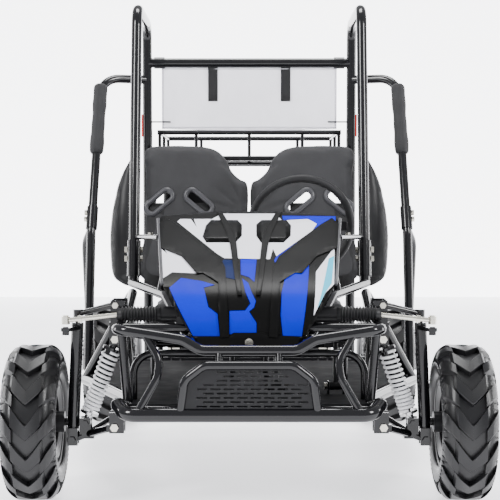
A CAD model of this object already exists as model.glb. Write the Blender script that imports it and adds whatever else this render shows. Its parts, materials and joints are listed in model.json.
import json
import math

import bmesh
import bpy
from mathutils import Matrix, Vector


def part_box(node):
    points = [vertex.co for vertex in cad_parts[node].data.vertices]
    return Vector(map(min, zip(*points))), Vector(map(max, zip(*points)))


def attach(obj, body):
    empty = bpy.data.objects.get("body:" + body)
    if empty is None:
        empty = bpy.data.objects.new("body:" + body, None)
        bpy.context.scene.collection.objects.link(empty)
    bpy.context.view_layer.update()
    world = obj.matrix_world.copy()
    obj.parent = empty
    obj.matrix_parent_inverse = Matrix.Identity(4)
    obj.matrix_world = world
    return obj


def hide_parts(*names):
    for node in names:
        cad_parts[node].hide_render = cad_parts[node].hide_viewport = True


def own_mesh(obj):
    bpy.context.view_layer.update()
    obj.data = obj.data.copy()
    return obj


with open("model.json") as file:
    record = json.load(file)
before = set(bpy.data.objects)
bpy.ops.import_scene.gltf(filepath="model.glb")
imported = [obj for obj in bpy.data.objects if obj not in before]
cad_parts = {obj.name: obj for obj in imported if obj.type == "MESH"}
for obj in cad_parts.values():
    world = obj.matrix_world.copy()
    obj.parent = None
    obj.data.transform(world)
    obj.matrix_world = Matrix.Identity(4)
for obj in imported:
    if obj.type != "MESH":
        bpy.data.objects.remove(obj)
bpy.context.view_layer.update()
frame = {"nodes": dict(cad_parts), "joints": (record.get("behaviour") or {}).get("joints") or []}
MM = 0.001


# -------- places taken from the frame
def centre(node):
    """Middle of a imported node's box."""
    low, high = (Vector(corner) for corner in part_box(node))
    return (low + high) / 2


def joint(name):
    """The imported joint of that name."""
    return next(j for j in frame["joints"] if j["name"] == name)


FRONT_TYRE = centre("front_tyre_left")
REAR_Y = joint("rear_axle_spin")["pos_m"][1]
AXLE_Z = FRONT_TYRE.z
TYRE_R = AXLE_Z
FRONT_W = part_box("front_tyre_left")[1][0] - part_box("front_tyre_left")[0][0]
REAR_W = 0.150
REAR_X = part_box("rear_tyres")[1][0] - REAR_W / 2
WHEEL_CENTRE = Vector(joint("steering_turn")["pos_m"])
WHEEL_AXIS = Vector(joint("steering_turn")["axis"]).normalized()


# -------- camera, floor and light
CAMERA_PLACE = (0.002, -3.68, 0.639)
CAMERA_PITCH = 1.95
LENS_MM = 105.8
SENSOR_MM = 36
FLOOR_SIZE = 16
WALL_Y = 6
WALL_HEIGHT = 3.2


def make_camera():
    """Long lens straight ahead of the kart, tipped down a little."""
    data = bpy.data.cameras.new("camera")
    data.lens = LENS_MM
    data.sensor_width = SENSOR_MM
    camera = bpy.data.objects.new("camera", data)
    camera.location = CAMERA_PLACE
    camera.rotation_euler = (math.radians(90 - CAMERA_PITCH), 0, 0)
    bpy.context.collection.objects.link(camera)
    bpy.context.scene.camera = camera


def make_stage():
    """Pale floor, glowing wall behind it and a soft grey world."""
    bpy.ops.mesh.primitive_plane_add(size=FLOOR_SIZE, location=(0, WALL_Y - FLOOR_SIZE / 2, 0))
    floor = bpy.context.object
    floor.name = "floor"
    floor.data.materials.append(lit_floor())
    bpy.ops.mesh.primitive_plane_add(size=1, location=(0, WALL_Y, 1.5), rotation=(math.radians(90), 0, 0))
    wall = bpy.context.object
    wall.scale = (FLOOR_SIZE, WALL_HEIGHT, 1)
    wall.name = "wall"
    wall.data.materials.append(lit_wall())
    world = bpy.data.worlds.new("studio")
    world.use_nodes = True
    background = world.node_tree.nodes["Background"]
    background.inputs["Color"].default_value = (0.95, 0.96, 1.0, 1)
    background.inputs["Strength"].default_value = 0.75
    bpy.context.scene.world = world


def area_light(name, place, target, size, power):
    """Rectangular lamp aimed at a target."""
    data = bpy.data.lights.new(name, "AREA")
    data.shape = "RECTANGLE"
    data.size = size[0]
    data.size_y = size[1]
    data.energy = power
    light = bpy.data.objects.new(name, data)
    light.location = place
    light.rotation_euler = (Vector(target) - Vector(place)).to_track_quat("-Z", "Y").to_euler()
    bpy.context.collection.objects.link(light)


def make_lights():
    """Key and fill from the front corners, one lamp overhead and a strip at each side."""
    area_light("key", (-2.6, -2.6, 3.0), (0, 0, 0.5), (0.9, 1.6), 150)
    area_light("fill", (2.8, -2.4, 2.6), (0, 0, 0.5), (0.8, 1.4), 120)
    area_light("top", (0, 0.4, 3.6), (0, 0, 0.3), (1.6, 1.0), 90)
    area_light("side_left", (3.4, 0.4, 0.8), (0, 0, 0.5), (0.5, 1.6), 40)
    area_light("side_right", (-3.4, 0.4, 0.8), (0, 0, 0.5), (0.5, 1.6), 40)


# -------- materials
def new_material(name, roughness, metallic=0.0, coat=0.0, sheen=0.0):
    """New node material, with its tree and its main shader."""
    material = bpy.data.materials.new(name)
    material.use_nodes = True
    shader = material.node_tree.nodes["Principled BSDF"]
    shader.inputs["Roughness"].default_value = roughness
    shader.inputs["Metallic"].default_value = metallic
    shader.inputs["Coat Weight"].default_value = coat
    shader.inputs["Coat Roughness"].default_value = 0.08
    shader.inputs["Sheen Weight"].default_value = sheen
    return material, material.node_tree, shader


def node(tree, kind, **values):
    """Adds a shader node; each value sets an attribute if there is one of that name, or else an input."""
    made = tree.nodes.new(kind)
    for key, value in values.items():
        if hasattr(made, key):
            setattr(made, key, value)
        else:
            made.inputs[key].default_value = value
    return made


def place_node(tree):
    """Object coordinates, so that a pattern keeps its scale on every piece."""
    return tree.nodes.new("ShaderNodeTexCoord").outputs["Object"]


def noise_node(tree, scale, detail=4.0):
    """Cloudy noise over the piece."""
    made = node(tree, "ShaderNodeTexNoise", Scale=scale, Detail=detail)
    tree.links.new(place_node(tree), made.inputs["Vector"])
    return made.outputs["Fac"]


def ramp(tree, factor, low, high, start=0.3, end=0.7):
    """Colour that runs from low to high as a factor goes from start to end."""
    made = tree.nodes.new("ShaderNodeValToRGB")
    made.color_ramp.elements[0].position = start
    made.color_ramp.elements[0].color = (*low, 1)
    made.color_ramp.elements[1].position = end
    made.color_ramp.elements[1].color = (*high, 1)
    tree.links.new(factor, made.inputs["Fac"])
    return made.outputs["Color"]


def spread(tree, factor, low, high):
    """Maps a factor from 0-1 to low-high."""
    made = tree.nodes.new("ShaderNodeMapRange")
    made.inputs["To Min"].default_value = low
    made.inputs["To Max"].default_value = high
    tree.links.new(factor, made.inputs["Value"])
    return made.outputs["Result"]


def bump(tree, shader, height, distance, strength=1.0):
    """Lets a height pattern tilt the surface."""
    made = tree.nodes.new("ShaderNodeBump")
    made.inputs["Distance"].default_value = distance
    made.inputs["Strength"].default_value = strength
    tree.links.new(height, made.inputs["Height"])
    tree.links.new(made.outputs["Normal"], shader.inputs["Normal"])


def shade(colour, factor):
    """The colour made darker or lighter."""
    return tuple(min(1.0, channel * factor) for channel in colour)


def plain_paint(name, colour, roughness, variation=0.12, grain=900.0, depth=0.00004, metallic=0.0, coat=0.0,
                shine=0.5):
    """Paint, plating or moulded plastic: slight colour drift, uneven gloss and a fine surface grain."""
    material, tree, shader = new_material(name, roughness, metallic, coat)
    shader.inputs["Specular IOR Level"].default_value = shine
    drift = noise_node(tree, 9.0)
    tree.links.new(ramp(tree, drift, shade(colour, 1 - variation), shade(colour, 1 + variation)),
                   shader.inputs["Base Color"])
    smudge = noise_node(tree, 26.0, 6.0)
    gloss = spread(tree, smudge, roughness * 0.8, min(1.0, roughness * 1.25))
    tree.links.new(gloss, shader.inputs["Roughness"])
    bump(tree, shader, noise_node(tree, grain, 2.0), depth)
    return material


def lit_floor():
    """Pale floor with a faint glow, so that it runs into the backdrop."""
    material, tree, shader = new_material("lit_floor", 0.5)
    tone = ramp(tree, noise_node(tree, 1.5), (0.84, 0.84, 0.87), (0.88, 0.88, 0.90))
    tree.links.new(tone, shader.inputs["Base Color"])
    tree.links.new(tone, shader.inputs["Emission Color"])
    shader.inputs["Emission Strength"].default_value = 1.45
    return material


def lit_wall():
    """White backdrop with a soft glow."""
    material, tree, shader = new_material("lit_wall", 0.9)
    tree.links.new(ramp(tree, noise_node(tree, 0.4), (0.90, 0.90, 0.92), (0.96, 0.96, 0.98)),
                   shader.inputs["Emission Color"])
    shader.inputs["Emission Strength"].default_value = 5.0
    return material


def tyre_rubber():
    """Black rubber with faint dust in the broad hollows and a fine moulded grain."""
    material, tree, shader = new_material("tyre_rubber", 0.5)
    shader.inputs["Specular IOR Level"].default_value = 0.4
    dust = noise_node(tree, 14.0, 6.0)
    tree.links.new(ramp(tree, dust, (0.005, 0.005, 0.006), (0.012, 0.012, 0.012), 0.35, 0.8),
                   shader.inputs["Base Color"])
    tree.links.new(spread(tree, dust, 0.24, 0.42), shader.inputs["Roughness"])
    bump(tree, shader, noise_node(tree, 1400.0, 3.0), 0.00008)
    return material


def foam():
    """Closed-cell foam: open pores over a soft black skin."""
    material, tree, shader = new_material("foam_skin", 0.85, sheen=0.08)
    cells = tree.nodes.new("ShaderNodeTexVoronoi")
    cells.inputs["Scale"].default_value = 950
    tree.links.new(place_node(tree), cells.inputs["Vector"])
    tone = ramp(tree, cells.outputs["Distance"], (0.022, 0.022, 0.024), (0.008, 0.008, 0.009), 0.1, 0.8)
    tree.links.new(tone, shader.inputs["Base Color"])
    bump(tree, shader, cells.outputs["Distance"], 0.0003, 0.6)
    return material


def woven_fabric(name, colour, pitch=1500.0):
    """Plain weave: two crossed thread waves over a slow drift of colour."""
    material, tree, shader = new_material(name, 0.8, sheen=0.05)
    waves = []
    for direction in ("X", "Z"):
        wave = node(tree, "ShaderNodeTexWave", bands_direction=direction, Scale=pitch / 6.28,
                    Distortion=0.4)
        tree.links.new(place_node(tree), wave.inputs["Vector"])
        waves.append(wave.outputs["Fac"])
    weave = node(tree, "ShaderNodeMath", operation="MULTIPLY")
    tree.links.new(waves[0], weave.inputs[0])
    tree.links.new(waves[1], weave.inputs[1])
    drift = noise_node(tree, 18.0, 5.0)
    both = node(tree, "ShaderNodeMath", operation="MULTIPLY_ADD")
    tree.links.new(weave.outputs[0], both.inputs[0])
    both.inputs[1].default_value = 0.5
    tree.links.new(drift, both.inputs[2])
    tree.links.new(ramp(tree, both.outputs[0], shade(colour, 0.7), shade(colour, 1.35), 0.3, 1.1),
                   shader.inputs["Base Color"])
    bump(tree, shader, weave.outputs[0], 0.0003, 0.7)
    return material


def vinyl(name, colour, roughness=0.38):
    """Grained vinyl: pebbled cells with creases between."""
    material, tree, shader = new_material(name, roughness)
    shader.inputs["Specular IOR Level"].default_value = 0.3
    cells = tree.nodes.new("ShaderNodeTexVoronoi")
    cells.inputs["Scale"].default_value = 520
    tree.links.new(place_node(tree), cells.inputs["Vector"])
    drift = noise_node(tree, 12.0, 5.0)
    tree.links.new(ramp(tree, drift, shade(colour, 0.75), shade(colour, 1.3)), shader.inputs["Base Color"])
    tree.links.new(spread(tree, drift, roughness * 0.8, roughness * 1.3), shader.inputs["Roughness"])
    bump(tree, shader, cells.outputs["Distance"], 0.00025, 0.5)
    return material


def screen_cloth():
    """Pale see-through sheet with a fine weave."""
    material, tree, shader = new_material("screen_cloth", 0.45)
    drift = noise_node(tree, 7.0, 4.0)
    tree.links.new(ramp(tree, drift, (0.72, 0.71, 0.78), (0.84, 0.83, 0.90)), shader.inputs["Base Color"])
    shader.inputs["Alpha"].default_value = 0.62
    bump(tree, shader, noise_node(tree, 60.0, 4.0), 0.0008, 0.4)
    return material


BLACK = plain_paint("powder_black", (0.004, 0.004, 0.005), 0.13, depth=0.000008, grain=300.0, shine=0.45)
SATIN = plain_paint("satin_black", (0.009, 0.009, 0.010), 0.36, shine=0.25)
PAN = plain_paint("pan_grey", (0.008, 0.008, 0.009), 0.75, shine=0.04)
ZINC = plain_paint("zinc_plate", (0.70, 0.68, 0.60), 0.26, metallic=1.0)
STEEL = plain_paint("bright_steel", (0.55, 0.55, 0.56), 0.25, metallic=1.0)
CAST = plain_paint("cast_alloy", (0.30, 0.30, 0.31), 0.5, grain=260.0, depth=0.0004, metallic=0.9)
WHITE_COIL = plain_paint("white_coil", (0.93, 0.93, 0.95), 0.3, 0.04, coat=0.2)
PLASTIC = plain_paint("moulded_black", (0.010, 0.010, 0.011), 0.45, grain=700.0, depth=0.0001, shine=0.25)
SHELL = plain_paint("shell_black", (0.004, 0.004, 0.004), 0.3, grain=600.0, depth=0.00002, shine=0.08)
BLUE = plain_paint("livery_blue", (0.0, 0.006, 0.52), 0.4, 0.06, shine=0.05)
NAVY = plain_paint("livery_navy", (0.003, 0.012, 0.07), 0.4, 0.10, shine=0.06)
WHITE = plain_paint("livery_white", (0.86, 0.86, 0.93), 0.35, 0.04, shine=0.2)
CYAN = plain_paint("livery_cyan", (0.05, 0.50, 0.72), 0.4, 0.05, shine=0.08)
RUBBER = plain_paint("bellows_rubber", (0.010, 0.010, 0.011), 0.42, grain=1200.0, depth=0.00006, shine=0.35)
RED = plain_paint("reflector_red", (0.60, 0.02, 0.012), 0.15, 0.2, grain=1500.0, depth=0.0003, coat=0.5)
TYRE = tyre_rubber()
FOAM = foam()
FABRIC = woven_fabric("seat_fabric", (0.022, 0.022, 0.024))
WEBBING = woven_fabric("webbing", (0.010, 0.010, 0.011), 2600.0)
VINYL = vinyl("bolster_vinyl", (0.012, 0.012, 0.013))
GRIP = vinyl("grip_skin", (0.010, 0.010, 0.011), 0.5)
SCREEN = screen_cloth()
BEZEL = plain_paint("bezel_grey", (0.05, 0.05, 0.055), 0.34, shine=0.4)


# -------- mesh helpers
def from_bmesh(name, mesh, materials):
    """Turns a bmesh into a smooth-shaded object."""
    data = bpy.data.meshes.new(name)
    bmesh.ops.recalc_face_normals(mesh, faces=mesh.faces)
    mesh.to_mesh(data)
    mesh.free()
    for material in materials:
        data.materials.append(material)
    data.polygons.foreach_set("use_smooth", [True] * len(data.polygons))
    made = bpy.data.objects.new(name, data)
    bpy.context.collection.objects.link(made)
    return made


def finish_piece(piece, body, replaced=()):
    """Ties a piece to its body and slot, and hides the plain nodes that it stands for."""
    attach(piece, body)
    if replaced:
        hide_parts(*replaced)
    return piece


def apply_modifiers(piece):
    """Bakes the modifiers of a piece into its mesh."""
    bpy.context.view_layer.update()
    graph = bpy.context.evaluated_depsgraph_get()
    data = bpy.data.meshes.new_from_object(piece.evaluated_get(graph))
    piece.modifiers.clear()
    piece.data = data


def sharpen(piece, angle=35):
    """Keeps edges crisp where faces meet at more than the angle."""
    piece.data.set_sharp_from_angle(angle=math.radians(angle))


def frame_axes(direction):
    """Two unit vectors across a direction."""
    helper = Vector((0, 0, 1)) if abs(direction.z) < 0.9 else Vector((1, 0, 0))
    side = direction.cross(helper).normalized()
    return side, side.cross(direction).normalized()


def sweep(mesh, path, radius, sides=12, closed=False, squeeze=1.0):
    """Tube along a list of points, round or squeezed flat."""
    count = len(path)
    rings = []
    side = None
    for index, point in enumerate(path):
        ahead = path[(index + 1) % count] if closed or index + 1 < count else point
        behind = path[index - 1] if closed or index > 0 else point
        direction = (ahead - behind).normalized()
        if side is None:
            side, _ = frame_axes(direction)
        side = (side - direction * side.dot(direction)).normalized()
        up = side.cross(direction)
        rings.append([mesh.verts.new(point + side * (radius * math.cos(2 * math.pi * k / sides))
                                     + up * (radius * squeeze * math.sin(2 * math.pi * k / sides)))
                      for k in range(sides)])
    last = count if closed else count - 1
    for index in range(last):
        first, second = rings[index], rings[(index + 1) % count]
        for k in range(sides):
            mesh.faces.new((first[k], first[(k + 1) % sides], second[(k + 1) % sides], second[k]))
    if not closed:
        mesh.faces.new(rings[0])
        mesh.faces.new(list(reversed(rings[-1])))


def spin_profile(mesh, points, steps, place):
    """Turns a closed profile of (x, r) points about the X axis through place."""
    rings = []
    for step in range(steps):
        angle = 2 * math.pi * step / steps
        rings.append([mesh.verts.new(place + Vector((x, r * math.cos(angle), r * math.sin(angle))))
                      for x, r in points])
    count = len(points)
    for step in range(steps):
        first, second = rings[step], rings[(step + 1) % steps]
        for k in range(count):
            mesh.faces.new((first[k], first[(k + 1) % count], second[(k + 1) % count], second[k]))


# -------- wheels
def tread_radius(x, half):
    """Outer radius of the tyre across its width: flat crown, round shoulders, bulged walls."""
    share = min(abs(x) / half, 1.0)
    return TYRE_R - 0.026 * max(0.0, (share - 0.4) / 0.6) ** 2.6


def tyre_carcass(mesh, place, half):
    """Side walls and base of the tyre, as one closed profile open to the rim inside."""
    outer = []
    for step in range(-10, 11):
        x = half * 0.97 * step / 10
        outer.append((x, tread_radius(x, half) - 0.0115))
    wall_right = [(half, 0.124), (half - 0.001, 0.112), (half - 0.006, 0.099), (half - 0.009, 0.096),
                  (half - 0.010, 0.088), (half - 0.018, 0.080), (half - 0.020, 0.0765)]
    inner = [(half - 0.030, 0.0765), (half - 0.022, 0.10), (half - 0.016, 0.12), (half - 0.03, 0.143)]
    wall_left = [(-x, r) for x, r in reversed(wall_right)]
    inner_left = [(-x, r) for x, r in reversed(inner)]
    spin_profile(mesh, outer + wall_right + inner + inner_left + wall_left, 96, place)


def tyre_point(place, x, angle, radius):
    """Point at an angle and radius round the wheel's axle."""
    return place + Vector((x, -radius * math.cos(angle), radius * math.sin(angle)))


def tread_lug(mesh, place, half, angle, side, reach, width):
    """One arm of a chevron: a bar across part of the half tread, with sloped flanks."""
    steps = 8
    flank = 0.016
    edge = 0.008
    depth = 0.014
    rows = []
    for step in range(steps + 1):
        share = step / steps
        along = reach[0] + (reach[1] - reach[0]) * share
        x = side * half * along
        turn = angle + LUG_BEND * max(0.0, along) ** 1.1
        size = width * (0.85 + 0.35 * share)
        top = tread_radius(x, half)
        base = top - depth
        if step == steps:
            top -= 0.004
        rows.append([mesh.verts.new(tyre_point(place, x, turn - size - flank, base)),
                     mesh.verts.new(tyre_point(place, x, turn - size, top - 0.0010)),
                     mesh.verts.new(tyre_point(place, x, turn - size + edge, top)),
                     mesh.verts.new(tyre_point(place, x, turn + size - edge, top)),
                     mesh.verts.new(tyre_point(place, x, turn + size, top - 0.0010)),
                     mesh.verts.new(tyre_point(place, x, turn + size + flank, base))])
    for first, second in zip(rows, rows[1:]):
        for k in range(5):
            mesh.faces.new((first[k], first[k + 1], second[k + 1], second[k]))
        mesh.faces.new((first[5], first[0], second[0], second[5]))
    mesh.faces.new(rows[0])
    mesh.faces.new(list(reversed(rows[-1])))


CHEVRONS = 14
LUG_BEND = 0.42
WALL_RIBS = 60


def tyre_piece(name, place, width):
    """Whole tyre: carcass, chevrons in the middle, lugs on the shoulders and ribs on the walls."""
    half = width / 2
    mesh = bmesh.new()
    tyre_carcass(mesh, place, half)
    pitch = 2 * math.pi / CHEVRONS
    for index in range(CHEVRONS):
        for side in (-1, 1):
            tread_lug(mesh, place, half, pitch * index, side, (-0.02, 0.60), 0.105)
            tread_lug(mesh, place, half, pitch * (index + 0.5), side, (0.48, 0.97), 0.095)
    for rib in range(WALL_RIBS):
        angle = 2 * math.pi * rib / WALL_RIBS
        for side in (-1, 1):
            start = tyre_point(place, side * (half - 0.0005), angle, 0.128)
            end = tyre_point(place, side * (half - 0.004), angle + 0.012, 0.142)
            sweep(mesh, [start, (start + end) / 2, end], 0.0012, 5)
    piece = from_bmesh(name, mesh, [TYRE])
    sharpen(piece, 32)
    return piece


def make_tyres():
    """Four tyres and their wheel nuts."""
    for side, word in ((1, "left"), (-1, "right")):
        place = Vector((side * FRONT_TYRE.x, FRONT_TYRE.y, AXLE_Z))
        piece = tyre_piece("front_tyre_tread_" + word, place, FRONT_W)
        finish_piece(piece, "front_wheel_" + word, ["front_tyre_" + word])
        rear = tyre_piece("rear_tyre_tread_" + word, Vector((side * REAR_X, REAR_Y, AXLE_Z)), REAR_W)
        finish_piece(rear, "rear_axle", ["rear_tyres"])
        make_wheel_nuts(word, side)


def make_wheel_nuts(word, side):
    """Four nuts with their studs on each rim's disc."""
    circle = 0.042
    lift = 0.004
    for name, body, x, y in (("front_wheel_nuts_", "front_wheel_" + word, FRONT_TYRE.x, FRONT_TYRE.y),
                             ("rear_wheel_nuts_", "rear_axle", REAR_X, REAR_Y)):
        mesh = bmesh.new()
        for index in range(4):
            angle = math.pi / 4 + index * math.pi / 2
            base = Vector((side * (x + lift), y + circle * math.cos(angle),
                           AXLE_Z + circle * math.sin(angle)))
            out = Vector((side, 0, 0))
            sweep(mesh, [base - out * 0.002, base + out * 0.001, base + out * 0.008], 0.0085, 6)
            sweep(mesh, [base, base + out * 0.007, base + out * 0.013], 0.0045, 12)
        piece = from_bmesh(name + word, mesh, [ZINC])
        sharpen(piece)
        finish_piece(piece, body)


# -------- springs and bellows
def coil(name, top, bottom, radius, wire, turns, body, replaced):
    """Coil spring between two seats, tighter wound towards the bottom, that shortens with the shock."""
    along = bottom - top
    length = along.length
    along.normalize()
    side, up = frame_axes(along)
    path = []
    steps = turns * 20
    for step in range(steps + 1):
        share = step / steps
        rise = share + 0.055 * math.sin(math.pi * share)
        flat = min(1.0, 8 * min(share, 1 - share) + 0.25)
        angle = 2 * math.pi * turns * share
        out = side * math.cos(angle) + up * math.sin(angle)
        path.append(top + along * (wire + (length - 2 * wire) * rise)
                    + out * (radius - wire * (1.05 - 0.05 * flat)))
    mesh = bmesh.new()
    sweep(mesh, path, wire, 10)
    piece = from_bmesh(name, mesh, [WHITE_COIL])
    finish_piece(piece, body, [replaced])
    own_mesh(piece)


def shock_axis(body_joint, stroke_joint):
    """Top pin of a shock and the direction down it."""
    top = Vector(joint(body_joint)["pos_m"])
    return top, Vector(joint(stroke_joint)["axis"]).normalized() * -1


SPRING_TOP = 0.0262
FRONT_SPRING_END = 0.1648
REAR_SPRING_END = 0.2332


def make_springs():
    """White coils of the two front shocks and the rear one."""
    for word in ("left", "right"):
        top, along = shock_axis("shock_swing_" + word, "shock_stroke_" + word)
        coil("coil_spring_" + word, top + along * SPRING_TOP, top + along * FRONT_SPRING_END,
             0.0193, 0.0031, 14,
             "shock_body_" + word, "shock_spring_" + word)
    top, along = shock_axis("rear_shock_swing", "rear_shock_stroke")
    coil("rear_coil_spring", top + along * SPRING_TOP, top + along * REAR_SPRING_END, 0.0249, 0.0045, 12,
         "rear_shock_body", "rear_spring")


def make_bellows():
    """Ribbed boots over the ends of the rack, with a plain cuff at each end."""
    low, high = (Vector(corner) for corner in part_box("rack_bellows"))
    axis = (low + high) / 2
    outer = (high.z - low.z) / 2
    start = 0.183
    end = high.x
    cuff = 0.008
    wall = 0.0017
    ribs = 12
    for side, word in ((1, "left"), (-1, "right")):
        profile = [(side * start, outer - 0.0008)]
        for step in range(ribs * 6 + 1):
            share = step / (ribs * 6)
            wave = 0.5 - 0.5 * math.cos(2 * math.pi * ribs * share)
            taper = 1 - 0.07 * share
            profile.append((side * (start + cuff + (end - start - 2 * cuff) * share),
                            (outer - 0.0042 + 0.0045 * wave) * taper))
        profile.append((side * end, outer - 0.003))
        back = [(x, r - wall) for x, r in reversed(profile)]
        mesh = bmesh.new()
        spin_profile(mesh, profile + back, 40, Vector((0, axis.y, axis.z)))
        piece = from_bmesh("rack_boot_" + word, mesh, [RUBBER])
        finish_piece(piece, "chassis", ["rack_bellows"])


# -------- foam, grip and pads
def foam_tube(name, start, end, inner, outer, body, replaced):
    """Split foam sleeve with rolled ends and a lengthwise seam."""
    along = (end - start).normalized()
    length = (end - start).length
    side, up = frame_axes(along)
    mesh = bmesh.new()
    steps = 40
    around = 36
    seam_depth = 0.0018
    profile = []
    for step in range(steps + 1):
        share = step / steps
        edge = min(share, 1 - share) * length
        roll = 1 - math.sqrt(max(0.0, 1 - min(edge / 0.006, 1.0)) ** 2)
        swell = 0.0007 * math.sin(9 * share) + 0.0005 * math.sin(23 * share + 1)
        profile.append((share * length, outer - 0.004 * (1 - roll) + swell))
    profile += [(length, inner), (0, inner)]
    rings = []
    for k in range(around):
        angle = 2 * math.pi * k / around
        out = side * math.cos(angle) + up * math.sin(angle)
        seam = seam_depth if k == 0 else 0.0
        rings.append([mesh.verts.new(start + along * s + out * (r - (seam if r > inner else 0)))
                      for s, r in profile])
    count = len(profile)
    for k in range(around):
        first, second = rings[k], rings[(k + 1) % around]
        for j in range(count):
            mesh.faces.new((first[j], first[(j + 1) % count], second[(j + 1) % count], second[j]))
    piece = from_bmesh(name, mesh, [FOAM])
    finish_piece(piece, body, replaced)


SIDE_BAR_CORNER = Vector((0.394, 0.247, 0.963))
SIDE_BAR_FOOT = Vector((0.403, 0.068, 0.560))
PAD_START = 0.022
PAD_END = 0.222
PAD_INNER_R = 0.0117
PAD_OUTER_R = 0.0178


def make_side_pads():
    """Foam sleeves below the upper bend of the side bars."""
    along = (SIDE_BAR_FOOT - SIDE_BAR_CORNER).normalized()
    start = SIDE_BAR_CORNER + along * PAD_START
    end = SIDE_BAR_CORNER + along * PAD_END
    for side, word in ((1, "left"), (-1, "right")):
        flip = Matrix.Diagonal((side, 1, 1)).to_3x3()
        foam_tube("side_foam_" + word, flip @ start, flip @ end, PAD_INNER_R, PAD_OUTER_R,
                  "chassis", ["side_pads"])


def make_wheel_grip():
    """Padded rim of the steering wheel with moulded finger waves on its back and a welt."""
    side, up = frame_axes(WHEEL_AXIS)
    major = 0.121
    count = 180
    path = []
    for k in range(count):
        angle = 2 * math.pi * k / count
        path.append(WHEEL_CENTRE + (side * math.cos(angle) + up * math.sin(angle)) * major)
    mesh = bmesh.new()
    sweep(mesh, path, 0.0098, 20, closed=True)
    for vertex in mesh.verts:
        out = vertex.co - WHEEL_CENTRE
        depth = out.dot(WHEEL_AXIS)
        flat = out - WHEEL_AXIS * depth
        angle = math.atan2(flat.dot(up), flat.dot(side))
        inward = flat.length < major
        if inward:
            wave = 0.5 + 0.5 * math.cos(angle * 36)
            vertex.co -= flat.normalized() * -0.0009 * wave
        if abs(depth) < 0.0008 and not inward:
            vertex.co -= flat.normalized() * 0.0012
    piece = from_bmesh("steering_grip", mesh, [GRIP])
    finish_piece(piece, "steering", ["wheel_grip"])


# -------- seats
SEAT_FOOT_Y = 0.120
SEAT_FOOT_Z = 0.330
SEAT_LEAN = 0.2


def seat_face_y(z):
    """Depth of the seat backs' front face at a height."""
    return SEAT_FOOT_Y + (z - SEAT_FOOT_Z) * SEAT_LEAN


def smooth_outline(points, steps=6):
    """Closed Catmull-Rom curve through the points."""
    count = len(points)
    curve = []
    for k in range(count):
        p0, p1, p2, p3 = (Vector(points[(k + j) % count]) for j in (-1, 0, 1, 2))
        for step in range(steps):
            t = step / steps
            curve.append(0.5 * ((2 * p1) + (p2 - p0) * t + (2 * p0 - 5 * p1 + 4 * p2 - p3) * t * t
                                + (3 * p1 - p0 - 3 * p2 + p3) * t ** 3))
    return curve


def slab(name, outline, front, back, materials):
    """Closed slab between a front and a back surface over an outline of (x, z) points."""
    mesh = bmesh.new()
    near = [mesh.verts.new((x, front(x, z), z)) for x, z in outline]
    far = [mesh.verts.new((x, back(x, z), z)) for x, z in outline]
    mesh.faces.new(near)
    mesh.faces.new(list(reversed(far)))
    for k in range(len(near)):
        after = (k + 1) % len(near)
        mesh.faces.new((near[k], far[k], far[after], near[after]))
    return from_bmesh(name, mesh, materials)


def inflate(piece, voxel=0.006, pressure=4.0, cap=0.012):
    """Pads a closed form: voxel remesh, a short cloth run under pressure, capped and smoothed."""
    remesh = piece.modifiers.new("remesh", "REMESH")
    remesh.mode = "VOXEL"
    remesh.voxel_size = voxel
    apply_modifiers(piece)
    rest = [vertex.co.copy() for vertex in piece.data.vertices]
    cloth = piece.modifiers.new("cloth", "CLOTH")
    cloth.settings.use_pressure = True
    cloth.settings.uniform_pressure_force = pressure
    cloth.settings.effector_weights.gravity = 0
    cloth.settings.quality = 4
    cloth.point_cache.frame_start = 1
    cloth.point_cache.frame_end = 20
    for step in range(1, 21):
        bpy.context.scene.frame_set(step)
    apply_modifiers(piece)
    for vertex, start in zip(piece.data.vertices, rest):
        push = vertex.co - start
        if push.length > cap:
            vertex.co = start + push * (cap / push.length)
    bpy.context.scene.frame_set(1)
    smooth = piece.modifiers.new("smooth", "SMOOTH")
    smooth.factor = 0.5
    smooth.iterations = 4
    apply_modifiers(piece)
    piece.data.polygons.foreach_set("use_smooth", [True] * len(piece.data.polygons))


BACK_OUTLINE = [(-0.012, 0.42), (-0.014, 0.54), (-0.016, 0.668), (0.008, 0.692), (0.032, 0.712),
                (0.052, 0.745), (0.082, 0.770), (0.130, 0.781), (0.235, 0.781), (0.288, 0.770),
                (0.294, 0.70), (0.294, 0.56), (0.290, 0.42)]
BOLSTER_OUTLINE = [(0.288, 0.42), (0.291, 0.60), (0.291, 0.760), (0.322, 0.728), (0.350, 0.662),
                   (0.366, 0.565), (0.362, 0.46), (0.345, 0.42)]
BACK_LOW_Z = 0.415
HALF_GAP = 0.0006
SLOT_PLACES = ((0.132, 1), (0.236, -1))
SLOT_Z = 0.634
SLOT_SLANT = math.radians(40)


def slot_ring(centre_x, slant, grow, steps=8):
    """Outline of a slanted slot with round ends, grown outwards by an amount, as (x, z) points."""
    half_length = 0.036 + grow
    half_width = 0.0115 + grow
    corner = half_width * 0.9
    points = []
    for sign_x, sign_z, start in ((1, 1, 0), (-1, 1, 90), (-1, -1, 180), (1, -1, 270)):
        for step in range(steps + 1):
            angle = math.radians(start + 90 * step / steps)
            u = sign_x * (half_length - corner) + corner * math.cos(angle)
            v = sign_z * (half_width - corner) + corner * math.sin(angle)
            points.append((centre_x + u * math.cos(slant) - v * math.sin(slant),
                           SLOT_Z + u * math.sin(slant) + v * math.cos(slant)))
    return points


def cut_slots(piece):
    """Cuts the harness slots right through a seat back."""
    for x, lean in SLOT_PLACES:
        outline = slot_ring(x, SLOT_SLANT * lean, 0.0)
        cutter = slab("cutter", outline, lambda x, z: 0.0, lambda x, z: 0.4, [])
        cut = piece.modifiers.new("slot", "BOOLEAN")
        cut.object = cutter
        cut.operation = "DIFFERENCE"
        cut.solver = "EXACT"
        apply_modifiers(piece)
        bpy.data.objects.remove(cutter)


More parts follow.
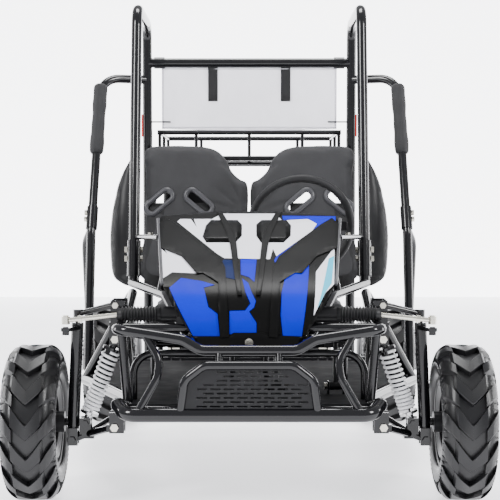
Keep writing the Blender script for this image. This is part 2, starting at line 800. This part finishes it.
def fit_axis(piece, axis, low, high):
    """Stretches a piece along one axis so that it spans low to high again."""
    values = [vertex.co[axis] for vertex in piece.data.vertices]
    start, end = min(values), max(values)
    for vertex in piece.data.vertices:
        vertex.co[axis] = low + (vertex.co[axis] - start) * (high - low) / (end - start)


def pleats(piece):
    """Shallow sewn folds that fan out from the foot of the notch between the seats."""
    foot = 0.60
    near, far = 0.03, 0.12
    for vertex in piece.data.vertices:
        x, z = vertex.co.x, vertex.co.z
        reach = math.hypot(x, z - foot)
        if vertex.co.y < seat_face_y(z) + 0.02 and near < reach < far:
            angle = math.atan2(z - foot, x)
            fade = math.sin(math.pi * (reach - near) / (far - near))
            vertex.co.y += 0.0028 * fade * max(0.0, math.cos(angle * 18)) ** 4


def mirrored_copy(piece, name):
    """The same piece on the kart's other side."""
    data = piece.data.copy()
    data.transform(Matrix.Diagonal((-1, 1, 1, 1)))
    data.flip_normals()
    made = bpy.data.objects.new(name, data)
    bpy.context.collection.objects.link(made)
    return made


def make_seats():
    """Seat backs and side bolsters, made once and mirrored, then the cushions and the slot trim."""
    back = slab("seat_cover_left", [tuple(p) for p in smooth_outline(BACK_OUTLINE, 5)],
                lambda x, z: seat_face_y(z) + 0.012, lambda x, z: seat_face_y(z) + 0.046, [FABRIC])
    inflate(back)
    fit_axis(back, 0, -0.016, 0.294)
    fit_axis(back, 2, BACK_LOW_Z, 0.783)
    for vertex in back.data.vertices:
        vertex.co.x = max(vertex.co.x, HALF_GAP)
    pleats(back)
    cut_slots(back)
    bolster = slab("seat_bolster_left", [tuple(p) for p in smooth_outline(BOLSTER_OUTLINE, 5)],
                   lambda x, z: seat_face_y(z) - 0.004 + 0.3 * abs(x - 0.32),
                   lambda x, z: seat_face_y(z) + 0.050, [VINYL])
    inflate(bolster, cap=0.010)
    fit_axis(bolster, 0, 0.287, 0.366)
    fit_axis(bolster, 2, BACK_LOW_Z, 0.765)
    for piece, other in ((back, "seat_cover_right"), (bolster, "seat_bolster_right")):
        twin = mirrored_copy(piece, other)
        for made, word in ((piece, "left"), (twin, "right")):
            finish_piece(made, "chassis", ["seat_back_" + word])
    make_cushions()
    make_slot_trim()


def make_cushions():
    """Seat cushions: a crowned panel, pulled in at two sewn channels."""
    low, high = (Vector(corner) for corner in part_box("seat_bases"))
    mesh = bmesh.new()
    inset = 0.012
    near_x = 0.014 + inset
    corners = [(near_x, low.y + inset), (high.x - inset, low.y + inset),
               (high.x - inset, high.y - inset), (near_x, high.y - inset)]
    bottom = [mesh.verts.new((x, y, low.z + 0.004)) for x, y in corners]
    top = [mesh.verts.new((x, y, high.z - 0.016)) for x, y in corners]
    mesh.faces.new(list(reversed(bottom)))
    mesh.faces.new(top)
    for k in range(4):
        mesh.faces.new((bottom[k], bottom[(k + 1) % 4], top[(k + 1) % 4], top[k]))
    cushion = from_bmesh("seat_cushion_left", mesh, [FABRIC])
    inflate(cushion, cap=0.012)
    channel_depth = 0.006
    channel_width = 0.005
    for vertex in cushion.data.vertices:
        vertex.co.z = max(vertex.co.z, low.z + 0.0005)
        if vertex.co.z > high.z - 0.03:
            for channel in (-0.11, 0.0):
                vertex.co.z -= channel_depth * math.exp(-((vertex.co.y - channel) / channel_width) ** 2)
    for made, word in ((cushion, "left"), (mirrored_copy(cushion, "seat_cushion_right"), "right")):
        finish_piece(made, "chassis", ["seat_bases"])


def make_slot_trim():
    """Grey bezels round the harness slots and the webbing that runs through and down."""
    for side, word in ((1, "left"), (-1, "right")):
        bezels = bmesh.new()
        straps = bmesh.new()
        for x, lean in SLOT_PLACES:
            outline = slot_ring(x, SLOT_SLANT * lean, 0.004)
            path = [Vector((side * px, seat_face_y(pz) - 0.001, pz)) for px, pz in outline]
            sweep(bezels, path, 0.0068, 12, closed=True)
            for drop in (0.0, 0.016):
                top = Vector((side * (x - lean * 0.006), seat_face_y(SLOT_Z) + 0.012, SLOT_Z - 0.004))
                path = [top + Vector((0, 0.030 + drop, -0.004)), top,
                        top + Vector((0, -0.016, -0.016)), top + Vector((side * 0.004, -0.024, -0.06)),
                        top + Vector((side * 0.010, -0.036 - drop * 0.2, -0.14)),
                        top + Vector((side * 0.014, -0.052, -0.22))]
                ribbon(straps, path, 0.019, 0.0014)
        trim = from_bmesh("slot_bezels_" + word, bezels, [BEZEL])
        finish_piece(trim, "chassis", ["harness"])
        webbing = from_bmesh("harness_webbing_" + word, straps, [WEBBING])
        finish_piece(webbing, "chassis", ["harness"])


def ribbon(mesh, path, half_width, half_thickness):
    """Flat strap along a path, its width across X."""
    rows = []
    for index, point in enumerate(path):
        ahead = path[min(index + 1, len(path) - 1)]
        behind = path[max(index - 1, 0)]
        direction = (ahead - behind).normalized()
        across = Vector((1, 0, 0))
        across = (across - direction * across.dot(direction)).normalized()
        lift = across.cross(direction)
        rows.append([mesh.verts.new(point + across * (half_width * a) + lift * (half_thickness * b))
                     for a, b in ((-1, -1), (1, -1), (1, 1), (-1, 1))])
    for first, second in zip(rows, rows[1:]):
        for k in range(4):
            mesh.faces.new((first[k], first[(k + 1) % 4], second[(k + 1) % 4], second[k]))
    mesh.faces.new(rows[0])
    mesh.faces.new(list(reversed(rows[-1])))


# -------- front fairing
FAIRING_STEPS = ((0.350, -0.676), (0.440, -0.648), (0.534, -0.480), (0.614, -0.322))
FAIRING_EDGE = [(-0.207, 0.596), (-0.197, 0.603), (-0.076, 0.613), (0.072, 0.613), (0.196, 0.603),
                (0.201, 0.593), (0.181, 0.463), (0.114, 0.355), (0.044, 0.359), (0.028, 0.364),
                (-0.032, 0.364), (-0.042, 0.355), (-0.117, 0.358), (-0.183, 0.463)]


ROW_STEP = 0.010
COLUMN_STEP = 0.014
LIP_BOLT_Z = 0.347


def fairing_y(x, z):
    """Front surface of the fairing: a smooth curve through its steps, bowed back a little at the sides."""
    steps = FAIRING_STEPS
    z = min(max(z, steps[0][0] - 0.03), steps[-1][0])
    slopes = [(b[1] - a[1]) / (b[0] - a[0]) for a, b in zip(steps, steps[1:])]
    tangents = [slopes[0]] + [(a + b) / 2 for a, b in zip(slopes, slopes[1:])] + [slopes[-1]]
    if z < steps[0][0]:
        y = steps[0][1] + slopes[0] * (z - steps[0][0])
    else:
        index = next(k for k in range(len(slopes)) if z <= steps[k + 1][0] + 1e-9)
        z0, y0 = steps[index]
        z1, y1 = steps[index + 1]
        width = z1 - z0
        t = (z - z0) / width
        y = ((2 * t ** 3 - 3 * t ** 2 + 1) * y0 + (t ** 3 - 2 * t ** 2 + t) * width * tangents[index]
             + (3 * t ** 2 - 2 * t ** 3) * y1 + (t ** 3 - t ** 2) * width * tangents[index + 1])
    return y + 0.012 * (x / 0.2) ** 2


def patch(name, outlines, lift, thickness, material):
    """Panel of any outline laid on the fairing: cut finely so that it follows the curve."""
    mesh = bmesh.new()
    for outline in outlines:
        low = min(z for _, z in outline)
        high = max(z for _, z in outline)
        face = mesh.faces.new([mesh.verts.new((x, 0, z)) for x, z in outline])
        geometry = [face] + list(face.edges) + list(face.verts)
        rows = max(1, int((high - low) / ROW_STEP))
        for row in range(1, rows):
            level = low + (high - low) * row / rows
            cut = bmesh.ops.bisect_plane(mesh, geom=geometry, plane_co=(0, 0, level), plane_no=(0, 0, 1))
            geometry = cut["geom"]
        left_edge = min(x for x, _ in outline)
        right_edge = max(x for x, _ in outline)
        columns = max(1, int((right_edge - left_edge) / COLUMN_STEP))
        for column in range(1, columns):
            at = left_edge + (right_edge - left_edge) * column / columns
            cut = bmesh.ops.bisect_plane(mesh, geom=geometry, plane_co=(at, 0, 0), plane_no=(1, 0, 0))
            geometry = cut["geom"]
    bmesh.ops.recalc_face_normals(mesh, faces=mesh.faces)
    front = list(mesh.faces)
    if front and front[0].normal.y > 0:
        bmesh.ops.reverse_faces(mesh, faces=front)
    for vertex in mesh.verts:
        vertex.co.y = fairing_y(vertex.co.x, vertex.co.z) - lift
    bmesh.ops.triangulate(mesh, faces=[f for f in mesh.faces if len(f.verts) > 4])
    grown = bmesh.ops.extrude_face_region(mesh, geom=list(mesh.faces))
    for item in grown["geom"]:
        if isinstance(item, bmesh.types.BMVert):
            item.co.y += thickness
    return from_bmesh(name, mesh, [material])


def mirrored_outline(outline):
    """The same outline on the other side, in the same turning sense."""
    return [(-x, z) for x, z in reversed(outline)]


RIDGE = [(-0.205, 0.583), (-0.188, 0.599), (-0.160, 0.584), (-0.064, 0.518), (-0.051, 0.497), (-0.048, 0.468),
         (-0.041, 0.358), (-0.059, 0.357), (-0.065, 0.468), (-0.098, 0.486), (-0.111, 0.484), (-0.146, 0.518),
         (-0.196, 0.536)]
RIB = [(-0.075, 0.612), (-0.059, 0.608), (-0.039, 0.578), (-0.029, 0.555), (-0.014, 0.443), (-0.024, 0.443),
       (-0.042, 0.543), (-0.051, 0.568), (-0.068, 0.601)]
LIVERY = {
    "white": (WHITE, [[(-0.162, 0.590), (-0.156, 0.596), (-0.132, 0.596), (-0.117, 0.578), (-0.125, 0.596),
                       (-0.084, 0.596), (-0.061, 0.608), (0.060, 0.608), (0.074, 0.593), (0.133, 0.596),
                       (0.153, 0.586), (0.141, 0.571), (0.059, 0.518), (0.052, 0.533), (0.045, 0.512),
                       (-0.053, 0.514), (-0.068, 0.522)],
                      [(-0.194, 0.534), (-0.177, 0.522), (-0.184, 0.531), (-0.146, 0.517), (-0.110, 0.484),
                       (-0.163, 0.486), (-0.182, 0.474)],
                      [(0.187, 0.536), (0.178, 0.463), (0.158, 0.446), (0.141, 0.416), (0.133, 0.401),
                       (0.142, 0.487)]]),
    "blue": (BLUE, [[(0.075, 0.603), (0.196, 0.602), (0.196, 0.586), (0.094, 0.532), (0.060, 0.494),
                     (0.054, 0.510), (0.059, 0.517), (0.142, 0.570), (0.153, 0.585), (0.134, 0.596),
                     (0.077, 0.594)],
                    [(-0.166, 0.456), (-0.143, 0.475), (-0.099, 0.469), (-0.072, 0.462), (-0.095, 0.457),
                     (-0.090, 0.442), (-0.084, 0.419), (-0.065, 0.405), (-0.060, 0.357), (-0.115, 0.360)],
                    [(-0.014, 0.474), (-0.002, 0.466), (0.005, 0.448), (0.014, 0.431), (0.010, 0.418),
                     (0.0, 0.410), (0.015, 0.387), (0.015, 0.366), (-0.040, 0.364), (-0.040, 0.411),
                     (-0.008, 0.412), (0.003, 0.426), (-0.007, 0.448)],
                    [(-0.018, 0.512), (0.016, 0.512), (0.011, 0.468), (0.0, 0.477), (-0.017, 0.482)],
                    [(0.148, 0.520), (0.128, 0.501), (0.118, 0.428), (0.108, 0.357), (0.070, 0.356),
                     (0.065, 0.403), (0.068, 0.448), (0.075, 0.472), (0.126, 0.512)]]),
    "navy": (NAVY, [[(-0.055, 0.511), (-0.025, 0.510), (-0.027, 0.472), (-0.052, 0.477), (-0.063, 0.497)]]),
    "cyan": (CYAN, [[(0.184, 0.518), (0.172, 0.513), (0.141, 0.416), (0.156, 0.444), (0.173, 0.465)]]),
}
PANEL_BLOCKS = [[(-0.094, 0.546), (-0.030, 0.546), (-0.016, 0.560), (-0.016, 0.584), (-0.026, 0.594),
                 (-0.086, 0.594), (-0.097, 0.582), (-0.103, 0.558)],
                [(0.026, 0.546), (0.076, 0.546), (0.092, 0.560), (0.094, 0.582), (0.084, 0.594),
                 (0.028, 0.594), (0.016, 0.584), (0.016, 0.560)]]


def on_fairing(piece):
    """A piece that stands in for part of the plain fairing."""
    finish_piece(piece, "chassis", ["front_fairing"])


def make_fairing():
    """Shell, lower lip, raised ridges, colour fields, plain blocks, side piping and the lip's bolt."""
    shell = patch("fairing_shell", [FAIRING_EDGE], 0.0, 0.0036, SHELL)
    on_fairing(shell)
    lip = patch("fairing_lip", [[(-0.119, 0.360), (-0.096, 0.333), (0.096, 0.333), (0.116, 0.359),
                                 (0.044, 0.362), (0.028, 0.367), (-0.032, 0.367), (-0.042, 0.360)]],
                0.0030, 0.0035, SHELL)
    on_fairing(lip)
    raised = patch("fairing_ridges", [RIDGE, mirrored_outline(RIDGE), RIB, mirrored_outline(RIB)],
                   0.0052, 0.0056, SHELL)
    bevel = raised.modifiers.new("bevel", "BEVEL")
    bevel.width = 0.0014
    bevel.segments = 2
    bevel.limit_method = "ANGLE"
    apply_modifiers(raised)
    sharpen(raised, 30)
    on_fairing(raised)
    for step, (name, (material, outlines)) in enumerate(LIVERY.items()):
        made = patch("livery_" + name, outlines, 0.0006 + 0.0003 * step, 0.0005, material)
        sharpen(made, 30)
        on_fairing(made)
    blocks = patch("livery_blocks", PANEL_BLOCKS, 0.0018, 0.0008, SHELL)
    on_fairing(blocks)
    piping = bmesh.new()
    for side in (-1, 1):
        path = []
        for step in range(25):
            share = step / 24
            x = side * (0.206 - 0.024 * share)
            z = 0.596 - 0.134 * share
            path.append(Vector((x, fairing_y(x, z) + 0.001, z)))
        sweep(piping, path, 0.0036, 10)
    on_fairing(from_bmesh("fairing_piping", piping, [BEZEL]))
    bolt_place = Vector((0, fairing_y(0, LIP_BOLT_Z) - 0.003, LIP_BOLT_Z))
    bolt_head("fairing_lip_bolt", bolt_place, Vector((0, -1, 0)), 0.007)


def bolt_head(name, place, out, size):
    """Washer and hexagon head."""
    mesh = bmesh.new()
    sweep(mesh, [place, place + out * 0.0008, place + out * 0.0015], size * 1.25, 24)
    sweep(mesh, [place + out * 0.0015, place + out * 0.003, place + out * 0.0055], size, 6)
    piece = from_bmesh(name, mesh, [ZINC])
    sharpen(piece, 30)
    finish_piece(piece, "chassis")


# -------- rear screen
POST_TOP_Y = 292
POST_TOP_Z = 1108
POST_LEAN = 0.048
SCREEN_FLAT = (0.472, 0.165)
SCREEN_TOP = 0.996
STRAP_X = 0.098


def make_screen():
    """Thin see-through sheet hung between the cage posts, with hemmed edges and folds between its straps."""
    width, height = SCREEN_FLAT
    half = width / 2
    top = SCREEN_TOP
    bottom = top - height
    mesh = bmesh.new()
    across = 96
    down = 40
    y_top, y_bottom = (screen_y(z) for z in (top, bottom))
    grid = []
    for row in range(down + 1):
        v = row / down
        z = top + (bottom - top) * v
        line = []
        for column in range(across + 1):
            u = -1 + 2 * column / across
            x = half * u
            sag = 0.004 * (1 - u * u) * v
            fold = 0.0026 * math.sin(9 * u + 3.0 * v) * math.sin(math.pi * v)
            fold += 0.0015 * math.sin(23 * u - 5 * v)
            fold += 0.003 * math.exp(-((abs(u) - 0.42) / 0.05) ** 2) * (1 - v)
            y = y_top + (y_bottom - y_top) * v + fold
            line.append(mesh.verts.new((x, y, z - sag * v)))
        grid.append(line)
    for upper, lower in zip(grid, grid[1:]):
        for k in range(across):
            mesh.faces.new((upper[k], upper[k + 1], lower[k + 1], lower[k]))
    cloth = from_bmesh("rear_screen_cloth", mesh, [SCREEN])
    thick = cloth.modifiers.new("thickness", "SOLIDIFY")
    thick.thickness = 0.0009
    thick.offset = 0
    apply_modifiers(cloth)
    finish_piece(cloth, "chassis", ["rear_screen"])
    hem = bmesh.new()
    for z, y in ((top - 0.004, y_top), (bottom + 0.004, y_bottom)):
        path = [Vector((half * (-1 + step / 24), y + 0.0015 * math.sin(step * 0.7), z))
                for step in range(49)]
        sweep(hem, path, 0.0042, 10, squeeze=0.45)
    for side in (-1, 1):
        path = [Vector((side * (half - 0.003), y_top + (y_bottom - y_top) * s / 12,
                        top + (bottom - top) * s / 12)) for s in range(13)]
        sweep(hem, path, 0.0048, 10, squeeze=0.45)
    hem_piece = finish_piece(from_bmesh("rear_screen_hem", hem, [SCREEN]), "chassis",
                             ["rear_screen"])
    straps = bmesh.new()
    for side in (-1, 1):
        path = [Vector((side * STRAP_X, screen_y(z) - 0.004, z))
                for z in (0.905, 0.925, 0.945, 0.965, 0.985, 1.0)]
        ribbon(straps, path, 0.013, 0.0012)
        low = Vector((side * half * 0.9, screen_y(0.85) - 0.003, 0.850))
        out = Vector((side * 0.285, screen_y(0.85), 0.850))
        sweep(straps, [low, (low + out) / 2, out], 0.008, 8, squeeze=0.25)
    strap_piece = finish_piece(from_bmesh("rear_screen_straps", straps, [WEBBING]), "chassis",
                               ["rear_screen"])


def screen_y(z):
    """Depth of the screen at a height: it leans with the rear posts."""
    return (POST_TOP_Y + (POST_TOP_Z - z * 1000) * POST_LEAN) * MM


# -------- finish of the parts kept from the frame
FINISHES = {
    BLACK: ("main_frame", "roll_cage", "cowl_frame", "front_bumper", "side_bars", "rear_rack", "swing_arm",
            "seat_frame", "lower_arm_left", "lower_arm_right", "upper_arm_left", "upper_arm_right",
            "knuckle_left", "knuckle_right", "lower_joint_left", "lower_joint_right", "shock_body_left",
            "shock_body_right", "rear_shock_body"),
    SATIN: ("rack_housing", "bumper_mesh", "steering_wheel", "front_rim_left", "front_rim_right", "rear_rims",
            "exhaust", "throttle_pedal", "brake_pedal"),
    PAN: ("floor_pan",),
    ZINC: ("frame_bolts", "tie_rod_left", "tie_rod_right", "steering_rack", "steering_column"),
    STEEL: ("rear_axle", "drive_chain", "shock_ram_left", "shock_ram_right", "rear_shock_ram"),
    CAST: ("engine", "clutch_drum", "brake_caliper"),
    PLASTIC: ("column_bush", "fuel_tank"),
    RED: ("reflectors",),
}


def paint_frame():
    """Gives each part kept from the frame its material."""
    for material, names in FINISHES.items():
        for name in names:
            piece = frame["nodes"][name]
            piece.data.materials.clear()
            piece.data.materials.append(material)


make_camera()
make_stage()
make_lights()
paint_frame()
make_tyres()
make_springs()
make_bellows()
make_side_pads()
make_wheel_grip()
make_seats()
make_fairing()
make_screen()
